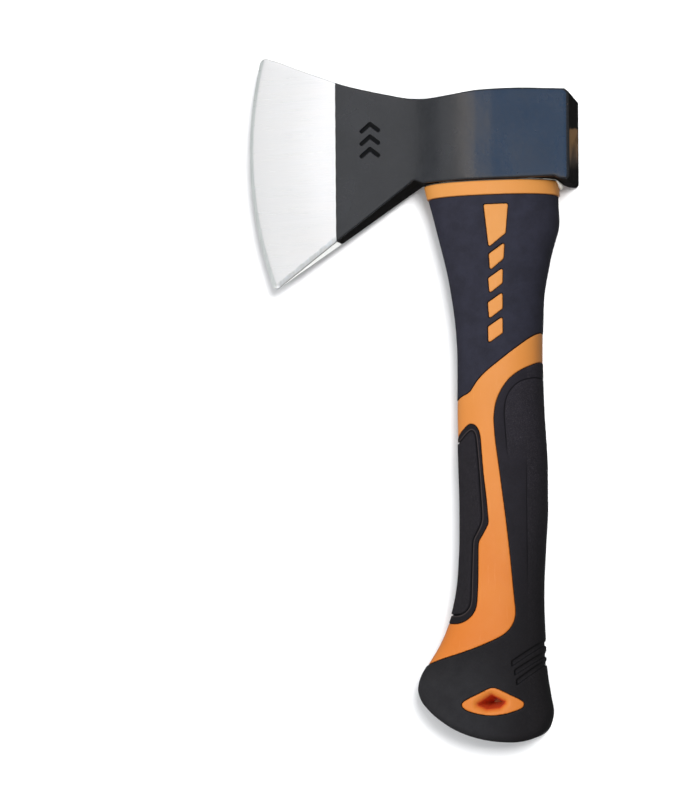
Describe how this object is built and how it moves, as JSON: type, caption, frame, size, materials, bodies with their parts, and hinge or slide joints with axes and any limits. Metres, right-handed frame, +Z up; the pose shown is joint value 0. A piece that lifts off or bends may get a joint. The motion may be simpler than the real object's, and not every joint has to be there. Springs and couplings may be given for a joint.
{
  "type": "hatchet",
  "caption": "One-hand hatchet: forged steel head with a curved ground edge and square poll, on a fibreglass-cored handle with soft black grips and orange inlays.",
  "frame": {"origin": "on the surface that the tool lies on, under the middle of its overall box", "axes": "+X from the cutting edge to the poll, +Y along the handle towards the head, +Z up from the surface that it lies on"},
  "size_m": [0.14, 0.2884, 0.0262],
  "materials": {
    "head_steel": "black lacquer over forged steel, bare ground steel along the edge",
    "epoxy": "cured pale resin",
    "glass_fibre": "pultruded glass fibre, sawn end",
    "orange_plastic": "satin moulded",
    "black_rubber": "matt, finely grained"
  },
  "bodies": {
    "root": {"axe_head": "head_steel", "eye_potting": "epoxy", "fibreglass_core": "glass_fibre", "handle_jacket": "orange_plastic", "upper_sleeve": "black_rubber", "finger_pad": "black_rubber", "palm_grip": "black_rubber"}
  },
  "joints": []
}
